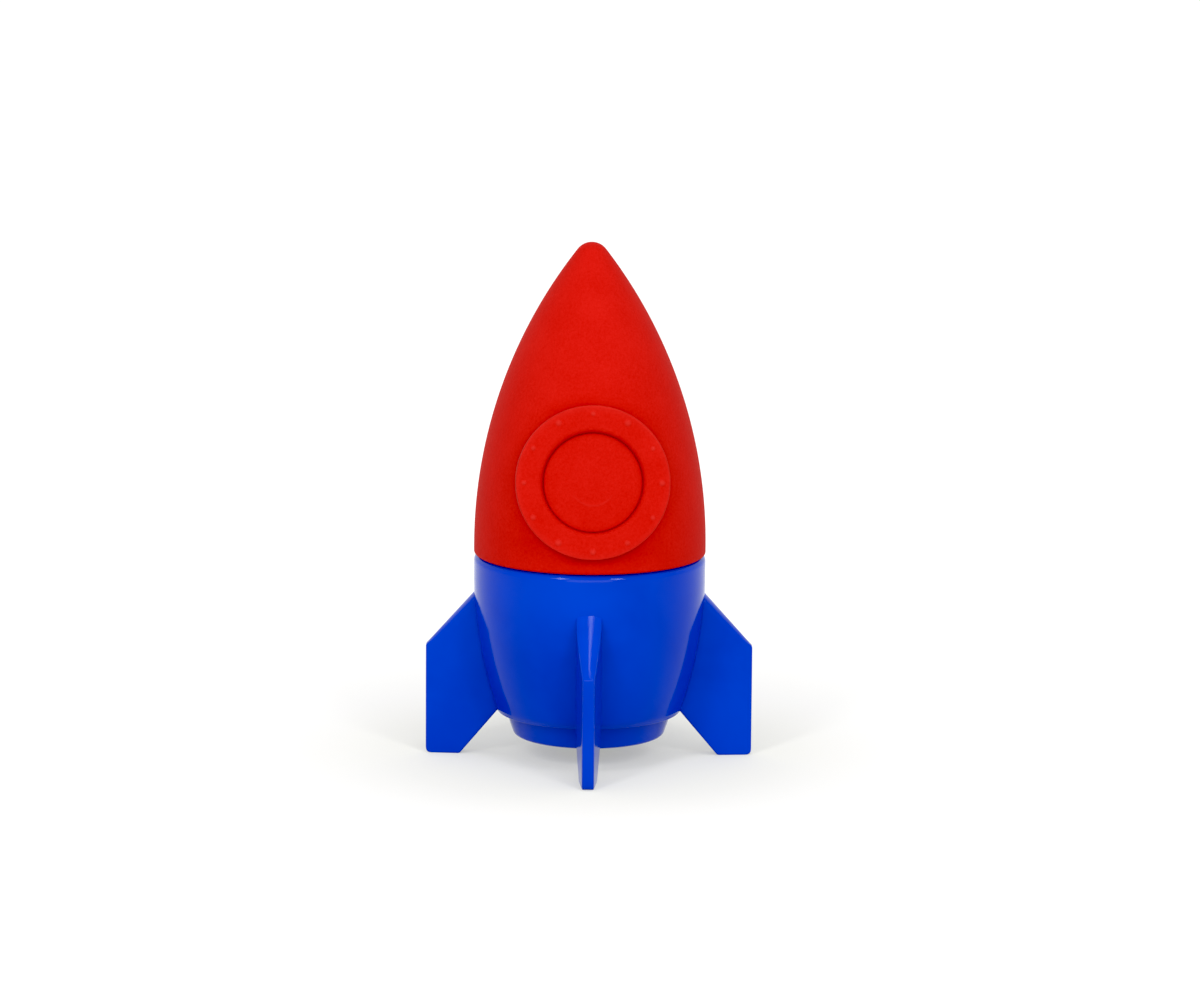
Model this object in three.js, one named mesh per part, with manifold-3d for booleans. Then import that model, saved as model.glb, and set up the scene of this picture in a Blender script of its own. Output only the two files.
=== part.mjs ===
// Rocket eraser and pencil sharpener: a rubber nose that plugs a plastic cup with four fins.
// A wedge sharpener stands inside the cup, in the plug that makes the rocket's nozzle.
// Units are millimetres, +Z is up, the fins stand on z = 0 and the porthole faces -Y.

import * as THREE from 'three';
import { mergeVertices } from 'three/addons/utils/BufferGeometryUtils.js';
import Module from 'manifold-3d';

const wasm = await Module();
wasm.setup();

// ---- driving dimensions ----

const totalHeight = 90;
const bodyRadius = 20.1; // nose and cup where they meet
const gap = 0.3; // air between pieces that touch

const rimHeight = 35.5; // top of the cup
const straightHeight = 31.5; // the cup's side is straight from here up
const cupBottomHeight = 7.75;
const cupBottomRadius = 16.05;
const wall = 1.7;

const noseTangentHeight = 37; // the nose curves in above this height
const tipRadius = 3.1;
const plugDepth = 4.2; // how far the nose reaches into the cup
const noseTurn = 1.5; // degrees that the loose nose happens to be turned

const portholeHeight = 51.4;
const portholeRadius = 13.15;
const portholeRise = 0.4; // above the plane that touches the nose at its centre
const glassRadius = 8.8;
const glassDepth = 0.8; // below the ring's face
const rivetCount = 12;
const rivetCircle = 11.75;
const rivetRadius = 0.6;
const rivetRise = 0.35;

const finCount = 4;
const finTipRadius = 28.4;
const finFootInnerRadius = 22.5;
const finShoulderHeight = 19.3;
const finTopHeight = 28.6;
const finRootThickness = 4.5;
const finTipThickness = 2;
const finTaper = 1.3; // above 1 keeps the fin thick for longer near its root

const nozzleBottomHeight = 3.6;
const nozzleTopRadius = 14.5;
const nozzleBottomRadius = 13.3;
const nozzleEdge = 0.9;
const spigotRadius = 12.7; // part of the nozzle plug inside the cup's floor
const spigotTopHeight = 10.6;
const pencilHoleRadius = 4.3;

const wedgeLength = 24;
const wedgeBackDepth = 5.6; // from the pencil's axis to the flat back
const wedgeMouthHalfWidth = 7.4;
const wedgeTipHalfWidth = 5.4;
const boreMouthRadius = 4.1;
const boreTipRadius = 0.8;
const boreMouthDepth = 4.3; // straight stretch before the cone
const collarDepth = 3.7; // full-height stretch of the wedge at its mouth
const seatCut = 0.35; // how deep the blade's seat opens the cone
const railHeight = 0.9;
const railInset = 2.6;

const bladeLength = 18.4;
const bladeThickness = 0.8;
const bladeInnerEdge = 0.4;
const bladeOuterEdge = -6.2;
const bladeBevel = 1.3;

const screwOffset = -3.95;
const screwShankRadius = 1.1;
const screwHeadRadius = 2.3;
const screwHeadHeight = 1.4;
const screwDepth = 3.6;
const screwSlotWidth = 0.6;

const roundSteps = 60;
const portholeSteps = 48;
const smallSteps = 32;
const rivetSteps = 12;

// ---- materials ----

const redRubber = new THREE.MeshStandardMaterial({ color: 0xd51108, roughness: 0.85, metalness: 0 });
const bluePlastic = new THREE.MeshStandardMaterial({ color: 0x0438c8, roughness: 0.22, metalness: 0 });
const castAlloy = new THREE.MeshStandardMaterial({ color: 0xb4b6ba, roughness: 0.45, metalness: 1 });
const bladeSteel = new THREE.MeshStandardMaterial({ color: 0xc8cbd0, roughness: 0.25, metalness: 1 });
const screwSteel = new THREE.MeshStandardMaterial({ color: 0xa8a294, roughness: 0.35, metalness: 1 });

// ---- helpers ----

// A closed geometry becomes a manifold solid, so that it can be joined and cut.
function solidOf(geometry) {
  const bare = geometry.clone();
  bare.deleteAttribute('normal');
  bare.deleteAttribute('uv');
  const merged = mergeVertices(bare, 1e-4);
  return new wasm.Manifold(new wasm.Mesh({
    numProp: 3,
    vertProperties: new Float32Array(merged.attributes.position.array),
    triVerts: new Uint32Array(merged.index.array),
  }));
}

function geometryOf(solid) {
  const mesh = solid.getMesh();
  const geometry = new THREE.BufferGeometry();
  geometry.setAttribute('position', new THREE.BufferAttribute(new Float32Array(mesh.vertProperties), 3));
  geometry.setIndex(new THREE.BufferAttribute(new Uint32Array(mesh.triVerts), 1));
  geometry.computeVertexNormals();
  return geometry;
}

// Points on an arc in the (radius, height) plane, angles in degrees from the +radius direction.
function arc(centreRadius, centreHeight, radius, from, to, steps) {
  const points = [];
  for (let i = 0; i <= steps; i += 1) {
    const angle = THREE.MathUtils.degToRad(from + ((to - from) * i) / steps);
    const r = centreRadius + radius * Math.cos(angle);
    const z = centreHeight + radius * Math.sin(angle);
    points.push([Math.max(r, 0), z]);
  }
  return points;
}

// A solid of revolution about Z from an upward (radius, height) profile that starts and ends on the axis.
function revolved(profile, steps) {
  const geometry = new THREE.LatheGeometry(profile.map(([r, z]) => new THREE.Vector2(r, z)), steps);
  return geometry.rotateX(Math.PI / 2);
}

function extruded(points, depth) {
  const shape = new THREE.Shape(points.map(([u, v]) => new THREE.Vector2(u, v)));
  return new THREE.ExtrudeGeometry(shape, { depth, bevelEnabled: false });
}

// An outline in (y, z), extruded along X from x = from to x = to.
function extrudedAlongX(points, from, to) {
  const geometry = extruded(points, to - from);
  const basis = new THREE.Matrix4().makeBasis(
    new THREE.Vector3(0, 1, 0),
    new THREE.Vector3(0, 0, 1),
    new THREE.Vector3(1, 0, 0),
  );
  return geometry.applyMatrix4(basis).translate(from, 0, 0);
}

// An outline in (x, z), extruded along Y and centred on y = 0.
function extrudedAlongY(points, depth) {
  return extruded(points, depth).rotateX(Math.PI / 2).translate(0, depth / 2, 0);
}

function pieceOf(name, geometry, material) {
  const mesh = new THREE.Mesh(geometry, material);
  mesh.name = name;
  return mesh;
}

// ---- eraser nose ----

// The nose's side is one arc, straight up at noseTangentHeight, that runs smoothly into the round tip.
const tipCentreHeight = totalHeight - tipRadius;
const noseRise = tipCentreHeight - noseTangentHeight;
const noseArcRadius = (noseRise ** 2 + bodyRadius ** 2 - tipRadius ** 2) / (2 * (bodyRadius - tipRadius));
const noseArcCentre = bodyRadius - noseArcRadius;
const noseBottomHeight = rimHeight + gap;

function noseBody() {
  const tipAngle = THREE.MathUtils.radToDeg(Math.atan2(noseRise, -noseArcCentre));
  const plugRadius = bodyRadius - wall - gap;
  const plugBottom = noseBottomHeight - plugDepth;
  const edge = 0.8;
  return solidOf(revolved([
    [0, plugBottom],
    ...arc(plugRadius - edge, plugBottom + edge, edge, -90, 0, 3),
    [plugRadius, noseBottomHeight],
    ...arc(bodyRadius - edge, noseBottomHeight + edge, edge, -90, 0, 4),
    ...arc(noseArcCentre, noseTangentHeight, noseArcRadius, 0, tipAngle, 13),
    ...arc(0, tipCentreHeight, tipRadius, tipAngle, 90, 5).slice(1),
  ], roundSteps));
}

// Turns a piece that was modelled about Z, at the origin, so that it faces out of the nose at the porthole.
function placeAtPorthole(geometry) {
  const drop = portholeHeight - noseTangentHeight;
  const tilt = Math.asin(drop / noseArcRadius);
  const surfaceRadius = noseArcCentre + noseArcRadius * Math.cos(tilt);
  return geometry.rotateX(Math.PI / 2 - tilt).translate(0, -surfaceRadius, portholeHeight);
}

function porthole() {
  const bossDepth = 8;
  const edge = 0.5;
  return solidOf(placeAtPorthole(revolved([
    [0, -bossDepth],
    [portholeRadius, -bossDepth],
    ...arc(portholeRadius - edge, portholeRise - edge, edge, 0, 90, 3),
    [0, portholeRise],
  ], portholeSteps)));
}

function portholeRecess() {
  const floor = portholeRise - glassDepth;
  const slant = 0.4; // the recess is this much narrower at its floor
  const overshoot = 2;
  return solidOf(placeAtPorthole(revolved([
    [0, floor],
    [glassRadius - slant, floor],
    [glassRadius, portholeRise],
    [glassRadius, portholeRise + overshoot],
    [0, portholeRise + overshoot],
  ], portholeSteps)));
}

function rivet(index) {
  const angle = (2 * Math.PI * index) / rivetCount;
  const rootDepth = 0.5;
  const shoulder = 0.7; // share of the radius and of the rise where the dome bends
  const dome = revolved([
    [0, -rootDepth],
    [rivetRadius, -rootDepth],
    [rivetRadius, 0],
    [rivetRadius * shoulder, rivetRise * shoulder],
    [0, rivetRise],
  ], rivetSteps);
  dome.translate(rivetCircle * Math.sin(angle), rivetCircle * Math.cos(angle), portholeRise);
  return solidOf(placeAtPorthole(dome));
}

function eraserNose() {
  let solid = noseBody().add(porthole()).subtract(portholeRecess());
  for (let i = 0; i < rivetCount; i += 1) {
    solid = solid.add(rivet(i));
  }
  const mesh = pieceOf('eraser_nose', geometryOf(solid), redRubber);
  mesh.rotation.z = THREE.MathUtils.degToRad(noseTurn);
  return mesh;
}

// ---- cup with fins ----

// The cup's side is one arc from straightHeight down to the bottom lip.
const cupDrop = straightHeight - cupBottomHeight;
const cupTuck = bodyRadius - cupBottomRadius;
const cupArcRadius = (cupDrop ** 2 + cupTuck ** 2) / (2 * cupTuck);
const cupArcCentre = bodyRadius - cupArcRadius;
const floorTopHeight = cupBottomHeight + wall;

function cupArc(inset, fromHeight, toHeight, steps) {
  const radius = cupArcRadius - inset;
  const from = THREE.MathUtils.radToDeg(Math.asin((fromHeight - straightHeight) / radius));
  const to = THREE.MathUtils.radToDeg(Math.asin((toHeight - straightHeight) / radius));
  return arc(cupArcCentre, straightHeight, radius, from, to, steps);
}

function cupOutside() {
  const lip = 0.3;
  const rim = 0.5;
  return solidOf(revolved([
    [0, cupBottomHeight],
    [cupBottomRadius - lip, cupBottomHeight],
    ...cupArc(0, cupBottomHeight + lip, straightHeight, 9),
    ...arc(bodyRadius - rim, rimHeight - rim, rim, 0, 90, 4),
    [0, rimHeight],
  ], roundSteps));
}

function cupInside() {
  const overshoot = 1;
  return solidOf(revolved([
    [0, floorTopHeight],
    ...cupArc(wall, floorTopHeight, straightHeight, 6),
    [bodyRadius - wall, rimHeight + overshoot],
    [0, rimHeight + overshoot],
  ], roundSteps));
}

function cupRadiusAt(z) {
  const below = Math.min(z - straightHeight, 0);
  return cupArcCentre + Math.sqrt(cupArcRadius ** 2 - below ** 2);
}

// A fin is thickest along its root, where it meets the cup, and thins to its upright outer edge.
function finThickness(r, z) {
  const rootRadius = cupRadiusAt(z);
  const reach = THREE.MathUtils.clamp((r - rootRadius) / (finTipRadius - rootRadius), 0, 1);
  return finRootThickness + (finTipThickness - finRootThickness) * reach ** finTaper;
}

function fin(index) {
  const buried = 0.8; // how far the fin's root goes into the cup's wall
  const rootTop = cupRadiusAt(finTopHeight);
  const slope = (finTopHeight - finShoulderHeight) / (finTipRadius - rootTop);
  const outline = [
    ...cupArc(buried, cupBottomHeight + buried, finTopHeight + buried * slope, 6),
    [rootTop, finTopHeight],
    [finTipRadius, finShoulderHeight],
    [finTipRadius, 0],
    [finFootInnerRadius, 0],
    [cupBottomRadius, cupBottomHeight],
  ];
  const geometry = extrudedAlongY(outline.reverse(), 1);
  const position = geometry.attributes.position;
  for (let i = 0; i < position.count; i += 1) {
    const thickness = finThickness(position.getX(i), position.getZ(i));
    position.setY(i, position.getY(i) * thickness);
  }
  return solidOf(geometry.rotateZ((2 * Math.PI * index) / finCount));
}

function baseShell() {
  let solid = cupOutside();
  for (let i = 0; i < finCount; i += 1) {
    solid = solid.add(fin(i));
  }
  const floorHole = new THREE.CylinderGeometry(spigotRadius + gap, spigotRadius + gap, 20, roundSteps);
  floorHole.rotateX(Math.PI / 2);
  solid = solid.subtract(cupInside()).subtract(solidOf(floorHole));
  return pieceOf('base_shell', geometryOf(solid), bluePlastic);
}

// ---- nozzle plug ----

const wedgeBottomHeight = nozzleBottomHeight + 2.1;
const wedgeTopHeight = wedgeBottomHeight + wedgeLength;

function nozzlePlug() {
  const flangeTop = cupBottomHeight - gap;
  const leadIn = 0.7;
  const body = solidOf(revolved([
    [0, nozzleBottomHeight],
    ...arc(nozzleBottomRadius - nozzleEdge, nozzleBottomHeight + nozzleEdge, nozzleEdge, -90, 0, 4),
    [nozzleTopRadius, flangeTop],
    [spigotRadius, flangeTop],
    [spigotRadius, spigotTopHeight],
    [0, spigotTopHeight],
  ], roundSteps));
  const hole = solidOf(revolved([
    [0, nozzleBottomHeight - 1],
    [pencilHoleRadius + leadIn + 1, nozzleBottomHeight - 1],
    [pencilHoleRadius, nozzleBottomHeight + leadIn],
    [pencilHoleRadius, spigotTopHeight + 1],
    [0, spigotTopHeight + 1],
  ], smallSteps));
  const pocketWidth = 2 * (wedgeMouthHalfWidth + gap);
  const pocketDepth = 2 * (wedgeBackDepth + gap);
  const pocketFloor = wedgeBottomHeight - gap;
  const pocketHeight = spigotTopHeight + 1 - pocketFloor;
  const pocket = new THREE.BoxGeometry(pocketWidth, pocketDepth, pocketHeight);
  pocket.translate(0, 0, pocketFloor + pocketHeight / 2);
  const solid = body.subtract(hole).subtract(solidOf(pocket));
  return pieceOf('nozzle_plug', geometryOf(solid), bluePlastic);
}

// ---- sharpener ----

const coneStartHeight = wedgeBottomHeight + boreMouthDepth;
const coneSlope = (boreMouthRadius - boreTipRadius) / (wedgeTopHeight - coneStartHeight);
const seatTilt = Math.atan(coneSlope);

// Height above the pencil's axis of the sloped face that carries the blade.
function seatLevel(z) {
  return boreMouthRadius - coneSlope * (z - coneStartHeight) - seatCut;
}

function wedgeSide(rise) {
  const collarTop = wedgeBottomHeight + collarDepth;
  return [
    [-wedgeBackDepth, wedgeBottomHeight],
    [wedgeBackDepth, wedgeBottomHeight],
    [wedgeBackDepth, collarTop],
    [seatLevel(collarTop) + rise, collarTop],
    [seatLevel(wedgeTopHeight) + rise, wedgeTopHeight],
    [-wedgeBackDepth, wedgeTopHeight],
  ];
}

// The blade and its screw lie in a frame whose XZ plane is the seat, centred along the blade.
const bladeMiddleHeight = wedgeBottomHeight + collarDepth + 0.6 + (bladeLength / 2) * Math.cos(seatTilt);

function placeOnSeat(geometry) {
  return geometry.rotateX(seatTilt).translate(0, seatLevel(bladeMiddleHeight), bladeMiddleHeight);
}

function screwHole(radius, depth) {
  const hole = new THREE.CylinderGeometry(radius, radius, 2 * depth, smallSteps);
  return solidOf(placeOnSeat(hole.translate(screwOffset, 0, 0)));
}

function sharpenerBody() {
  const fullWidth = 2 * wedgeMouthHalfWidth;
  const block = solidOf(extrudedAlongX(wedgeSide(0), -fullWidth, fullWidth));
  const rail = solidOf(extrudedAlongX(wedgeSide(railHeight), railInset, fullWidth));
  const front = solidOf(extrudedAlongY([
    [-wedgeMouthHalfWidth, wedgeBottomHeight],
    [wedgeMouthHalfWidth, wedgeBottomHeight],
    [wedgeTipHalfWidth, wedgeTopHeight],
    [-wedgeTipHalfWidth, wedgeTopHeight],
  ], 4 * wedgeBackDepth));
  const bore = solidOf(revolved([
    [0, wedgeBottomHeight - 1],
    [boreMouthRadius, wedgeBottomHeight - 1],
    [boreMouthRadius, coneStartHeight],
    [boreTipRadius, wedgeTopHeight],
    [boreTipRadius, wedgeTopHeight + 1],
    [0, wedgeTopHeight + 1],
  ], smallSteps));
  const solid = block.add(rail).intersect(front).subtract(bore);
  const finished = solid.subtract(screwHole(screwShankRadius + gap, screwDepth + gap));
  return pieceOf('sharpener_body', geometryOf(finished), castAlloy);
}

function sharpenerBlade() {
  const blade = extruded([
    [bladeOuterEdge, gap],
    [bladeInnerEdge, gap],
    [bladeInnerEdge - bladeBevel, gap + bladeThickness],
    [bladeOuterEdge, gap + bladeThickness],
  ], bladeLength);
  blade.translate(0, 0, -bladeLength / 2);
  const solid = solidOf(placeOnSeat(blade)).subtract(screwHole(screwShankRadius + gap, 3));
  return pieceOf('sharpener_blade', geometryOf(solid), bladeSteel);
}

function bladeScrew() {
  const headBottom = 2 * gap + bladeThickness;
  const headTop = headBottom + screwHeadHeight;
  const profile = [
    [0, -screwDepth],
    [screwShankRadius, -screwDepth],
    [screwShankRadius, headBottom],
    [screwHeadRadius, headBottom],
    [screwHeadRadius, headTop - 0.4],
    [screwHeadRadius - 0.4, headTop],
    [0, headTop],
  ];
  // A lathe geometry already turns about Y, which is the screw's own direction on the seat.
  const turned = new THREE.LatheGeometry(profile.map(([r, y]) => new THREE.Vector2(r, y)), smallSteps);
  const slotDepth = 0.7;
  const slot = new THREE.BoxGeometry(3 * screwHeadRadius, 2 * slotDepth, screwSlotWidth);
  slot.translate(0, headTop, 0).rotateY(0.6);
  const screw = solidOf(placeOnSeat(turned.translate(screwOffset, 0, 0)));
  const cut = solidOf(placeOnSeat(slot.translate(screwOffset, 0, 0)));
  return pieceOf('blade_screw', geometryOf(screw.subtract(cut)), screwSteel);
}

// ---- assembly ----

const sharpener = new THREE.Group();
sharpener.add(sharpenerBody(), sharpenerBlade(), bladeScrew());

const rocket = new THREE.Group();
rocket.add(eraserNose(), baseShell(), nozzlePlug(), sharpener);

export default rocket;
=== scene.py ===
import math

import bmesh
import bpy
from mathutils import Matrix, Quaternion, Vector


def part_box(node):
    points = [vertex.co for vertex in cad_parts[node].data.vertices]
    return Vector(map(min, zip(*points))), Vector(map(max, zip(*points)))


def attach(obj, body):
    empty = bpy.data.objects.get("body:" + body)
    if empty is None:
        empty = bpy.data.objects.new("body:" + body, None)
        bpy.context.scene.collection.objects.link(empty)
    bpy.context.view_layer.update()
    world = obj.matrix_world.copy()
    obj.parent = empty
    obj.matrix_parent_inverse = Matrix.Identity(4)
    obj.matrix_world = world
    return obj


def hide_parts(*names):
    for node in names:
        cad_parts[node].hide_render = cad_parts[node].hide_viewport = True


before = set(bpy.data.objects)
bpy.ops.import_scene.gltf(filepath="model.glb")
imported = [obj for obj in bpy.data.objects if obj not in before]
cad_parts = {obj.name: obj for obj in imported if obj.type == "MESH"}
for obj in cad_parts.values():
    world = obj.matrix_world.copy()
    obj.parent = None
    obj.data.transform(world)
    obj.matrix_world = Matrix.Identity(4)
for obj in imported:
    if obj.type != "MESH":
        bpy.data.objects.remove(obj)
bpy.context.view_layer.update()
scene = bpy.context.scene
mm = 0.001  # sizes below are in millimetres, meshes are in metres
print("frame loaded:", sorted(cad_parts))


# Points of an arc in the (r, z) plane, from one angle to another in degrees.
def arc(centreR, centreZ, radius, start, end, steps):
    points = []
    for i in range(steps + 1):
        angle = math.radians(start + (end - start) * i / steps)
        points.append((centreR + radius * math.cos(angle), centreZ + radius * math.sin(angle)))
    return points


def newObject(name, verts, faces, creaseAngle=40):
    mesh = bpy.data.meshes.new(name)
    mesh.from_pydata([[c * mm for c in v] for v in verts], [], faces)
    made = bpy.data.objects.new(name, mesh)
    scene.collection.objects.link(made)
    smoothShading(made, creaseAngle)
    return made


def smoothShading(piece, creaseAngle):
    piece.data.shade_smooth()
    piece.data.set_sharp_from_angle(angle=math.radians(creaseAngle))


def tidyNormals(piece):
    edit = bmesh.new()
    edit.from_mesh(piece.data)
    bmesh.ops.remove_doubles(edit, verts=edit.verts, dist=0.002 * mm)
    bmesh.ops.recalc_face_normals(edit, faces=edit.faces)
    edit.to_mesh(piece.data)
    edit.free()


# Columns start at the front, -Y, and run towards +X. A profile point on the axis becomes a pole.
def latheShell(profile, segments, skipped=lambda row, column: False):
    verts, faces, rows = [], [], []
    for r, z in profile:
        if r < 1e-6:
            rows.append([len(verts)] * segments)
            verts.append((0.0, 0.0, z))
            continue
        rows.append(list(range(len(verts), len(verts) + segments)))
        for j in range(segments):
            angle = 2 * math.pi * j / segments
            verts.append((r * math.sin(angle), -r * math.cos(angle), z))
    for i in range(len(profile) - 1):
        for j in range(segments):
            if not skipped(i, j):
                k = (j + 1) % segments
                corners = [rows[i][j], rows[i][k], rows[i + 1][k], rows[i + 1][j]]
                faces.append(list(dict.fromkeys(corners)))
    return verts, faces, rows


# The same for a profile that closes on itself, such as a cup with a hole in its floor.
def latheRing(profile, segments):
    verts, faces, rows = latheShell(list(profile) + [profile[0]], segments)
    swap = dict(zip(rows[-1], rows[0]))
    faces = [[swap.get(v, v) for v in face] for face in faces]
    return verts[:rows[-1][0]], faces


# A value for each point of a mesh, which a finish reads by its name.
def paint(piece, name, values):
    attribute = piece.data.attributes.new(name, "FLOAT", "POINT")
    attribute.data.foreach_set("value", values)


def baked(piece, name, creaseAngle=None):
    # the evaluated result, modifiers included, as a plain mesh object
    graph = bpy.context.evaluated_depsgraph_get()
    mesh = bpy.data.meshes.new_from_object(piece.evaluated_get(graph))
    mesh.name = name
    made = bpy.data.objects.new(name, mesh)
    scene.collection.objects.link(made)
    if creaseAngle is not None:
        smoothShading(made, creaseAngle)
    return made


def discard(*pieces):
    for piece in pieces:
        bpy.data.objects.remove(piece)


def cut(piece, tool, operation):
    modifier = piece.modifiers.new(operation.lower(), "BOOLEAN")
    modifier.object = tool
    modifier.operation = operation
    modifier.solver = "EXACT"


# A Geometry Nodes tree with named inputs, which runs once and leaves a plain object.
class NodeSheet:
    def __init__(self, name, sockets):
        self.tree = bpy.data.node_groups.new(name, "GeometryNodeTree")
        self.identifiers = {}
        for label, kind in sockets:
            made = self.tree.interface.new_socket(label, in_out="INPUT", socket_type=kind)
            self.identifiers[label] = made.identifier
        self.tree.interface.new_socket("Geometry", in_out="OUTPUT", socket_type="NodeSocketGeometry")
        self.entry = self.tree.nodes.new("NodeGroupInput")
        self.exit = self.tree.nodes.new("NodeGroupOutput")

    def given(self, label):
        return self.entry.outputs[label]

    def add(self, kind, settings, sockets, output=0):
        node = self.tree.nodes.new(kind)
        for key, value in settings.items():
            setattr(node, key, value)
        for key, value in sockets.items():
            if isinstance(value, bpy.types.NodeSocket):
                self.tree.links.new(value, node.inputs[key])
            else:
                node.inputs[key].default_value = value
        return node.outputs[output]

    def finish(self, geometry, material):
        real = self.add("GeometryNodeRealizeInstances", {}, {"Geometry": geometry})
        painted = self.add("GeometryNodeSetMaterial", {}, {"Geometry": real, "Material": material})
        self.tree.links.new(painted, self.exit.inputs[0])

    def build(self, name, values):
        # runs the tree on an empty mesh and keeps the result as a plain object
        holder = bpy.data.objects.new(name + "Holder", bpy.data.meshes.new(name + "Holder"))
        scene.collection.objects.link(holder)
        modifier = holder.modifiers.new(name, "NODES")
        modifier.node_group = self.tree
        for label, value in values.items():
            modifier[self.identifiers[label]] = value
        holder.update_tag()
        bpy.context.view_layer.update()
        made = baked(holder, name)
        discard(holder)
        return made


# Copies of one object around Z, tilted about X and moved as a group.
def ringOfCopies(name, spec, source, material, centre=(0, 0, 0), tilt=0.0, turn=0.0):
    sheet = NodeSheet(name + "Ring", [
        ("Piece", "NodeSocketObject"), ("Count", "NodeSocketInt"),
        ("Circle Radius", "NodeSocketFloat"), ("Smallest", "NodeSocketFloat"),
        ("Largest", "NodeSocketFloat"), ("Seed", "NodeSocketInt"),
        ("Centre", "NodeSocketVector"), ("Tilt", "NodeSocketVector"), ("Turn", "NodeSocketVector"),
    ])
    piece = sheet.add("GeometryNodeObjectInfo", {}, {"Object": sheet.given("Piece")}, "Geometry")
    circle = sheet.add("GeometryNodeMeshCircle", {}, {
        "Vertices": sheet.given("Count"), "Radius": sheet.given("Circle Radius"),
    })
    index = sheet.add("GeometryNodeInputIndex", {}, {})
    share = sheet.add("ShaderNodeMath", {"operation": "DIVIDE"}, {0: index, 1: sheet.given("Count")})
    angle = sheet.add("ShaderNodeMath", {"operation": "MULTIPLY"}, {0: share, 1: 2 * math.pi})
    facing = sheet.add("ShaderNodeCombineXYZ", {}, {"Z": angle})
    size = sheet.add("FunctionNodeRandomValue", {"data_type": "FLOAT"}, {
        2: sheet.given("Smallest"), 3: sheet.given("Largest"), "Seed": sheet.given("Seed"),
    }, 1)
    copies = sheet.add("GeometryNodeInstanceOnPoints", {}, {
        "Points": circle, "Instance": piece, "Rotation": facing, "Scale": size,
    })
    tilted = sheet.add("GeometryNodeTransform", {}, {
        "Geometry": copies, "Translation": sheet.given("Centre"), "Rotation": sheet.given("Tilt"),
    })
    turned = sheet.add("GeometryNodeTransform", {}, {
        "Geometry": tilted, "Rotation": sheet.given("Turn"),
    })
    sheet.finish(turned, material)
    return sheet.build(name, {
        "Piece": source, "Count": spec["count"], "Circle Radius": spec["circleRadius"] * mm,
        "Smallest": spec.get("smallest", 1.0), "Largest": spec.get("largest", 1.0),
        "Seed": spec.get("seed", 0), "Centre": [c * mm for c in centre],
        "Tilt": (tilt, 0.0, 0.0), "Turn": (0.0, 0.0, turn),
    })


# A shader value that can be added, subtracted and multiplied.
class Wire:
    def __init__(self, finish, socket):
        self.finish = finish
        self.socket = socket

    def math(self, operation, first, second):
        return self.finish.add("ShaderNodeMath", {"operation": operation}, {0: first, 1: second})

    def __add__(self, other):
        return self.math("ADD", self, other)

    def __radd__(self, other):
        return self.math("ADD", other, self)

    def __sub__(self, other):
        return self.math("SUBTRACT", self, other)

    def __rsub__(self, other):
        return self.math("SUBTRACT", other, self)

    def __mul__(self, other):
        return self.math("MULTIPLY", self, other)

    def size(self):
        return self.math("ABSOLUTE", self, 0.0)


# A material with one Principled shader, which the wires feed.
class Finish:
    def __init__(self, name, **constants):
        self.material = bpy.data.materials.new(name)
        self.material.use_nodes = True
        self.nodes = self.material.node_tree.nodes
        self.links = self.material.node_tree.links
        self.shader = next(n for n in self.nodes if n.type == "BSDF_PRINCIPLED")
        for label, value in constants.items():
            self.shader.inputs[label].default_value = value

    # settings come first, because some of them decide which sockets a node has
    def add(self, kind, settings, sockets, output=0):
        node = self.nodes.new(kind)
        for key, value in settings.items():
            setattr(node, key, value)
        for key, value in sockets.items():
            if isinstance(value, Wire):
                self.links.new(value.socket, node.inputs[key])
            else:
                node.inputs[key].default_value = value
        return Wire(self, node.outputs[output])

    def feed(self, label, wire):
        self.links.new(wire.socket, self.shader.inputs[label])

    def place(self):
        return self.add("ShaderNodeTexCoord", {}, {}, "Object")

    def painted(self, name):
        return self.add("ShaderNodeAttribute", {"attribute_name": name}, {}, "Fac")

    def noise(self, scale, detail=2.0, roughness=0.5, at=None, distortion=0.0):
        return self.add("ShaderNodeTexNoise", {}, {
            "Vector": at or self.place(), "Scale": scale, "Detail": detail, "Roughness": roughness,
            "Distortion": distortion,
        }, "Fac")

    def ramp(self, value, low, high):
        return self.add("ShaderNodeMapRange", {"clamp": True}, {
            "Value": value, "From Min": low, "From Max": high,
        })

    def blend(self, factor, first, second):
        return self.add("ShaderNodeMix", {"data_type": "RGBA"}, {
            "Factor": factor, 6: first, 7: second,
        }, 2)

    def bump(self, height, strength, distance, under=None):
        sockets = {"Height": height, "Strength": strength, "Distance": distance * mm}
        if under is not None:
            sockets["Normal"] = under
        return self.add("ShaderNodeBump", {}, sockets)


rubberLook = {
    "deep": (0.366, 0.0115, 0.0095, 1), "pale": (0.412, 0.0160, 0.0130, 1),
    # the dark crease colour is painted shade for the creases round the porthole; the pale rubbed colour
    # is a painted highlight on the ring's edge and rivet tops, and the ejector mark's own paler tone
    "paintedCreaseShade": (0.20, 0.006, 0.006, 1), "paleMarkAndHighlight": (0.46, 0.046, 0.038, 1),
    "grainScale": 2400, "patchScale": 160, "grainHeight": 0.05, "patchHeight": 0.06,
    "roughness": 0.82, "patchRoughness": 0.12, "creaseShadeShare": 0.35,
    "seamHalf": 0.00016,  # in metres, as the seam is found from Object coordinates
    "seamHeight": 0.03,
}


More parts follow.
